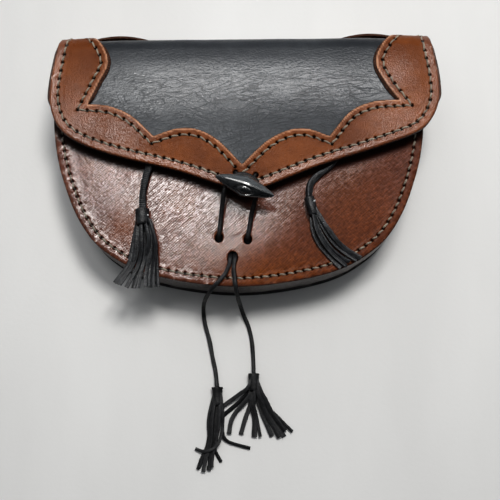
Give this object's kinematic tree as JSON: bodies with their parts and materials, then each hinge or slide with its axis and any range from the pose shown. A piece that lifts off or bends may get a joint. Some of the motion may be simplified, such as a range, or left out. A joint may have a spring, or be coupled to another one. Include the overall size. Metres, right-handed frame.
{
  "type": "sporran pouch",
  "caption": "D-shaped leather pouch with a scalloped front flap, toggle closing, hanger loops on its top and hanging tassels.",
  "frame": {"origin": "under the middle of the pouch without its thongs and tassels, on the surface that its back rests on", "axes": "+X to the right across the pouch as seen from its front, +Y towards its top, +Z out of its front"},
  "size_m": [0.2167, 0.2504, 0.0568],
  "materials": {
    "brown_leather": "smooth vegetable-tanned leather, satin",
    "red_brown_leather": "smooth leather, satin with a soft sheen",
    "black_leather": "fine-grained soft leather, satin",
    "dark_leather": "plain leather, matt",
    "black_horn": "polished horn",
    "black_lace": "cut leather lace, satin"
  },
  "bodies": {
    "root": {"back_panel": "dark_leather", "gusset": "dark_leather", "front_panel": "red_brown_leather", "flap": "black_leather", "flap_trim": "brown_leather", "hanger_loop_left": "brown_leather", "hanger_loop_right": "brown_leather", "toggle": "black_horn", "toggle_cord": "black_lace", "closing_loop": "black_lace", "thong_left": "black_lace", "thong_right": "black_lace", "thong_low_left": "black_lace", "thong_low_right": "black_lace", "tassel_left": "black_lace", "tassel_right": "black_lace", "tassel_low_left": "black_lace", "tassel_low_right": "black_lace"}
  },
  "joints": []
}
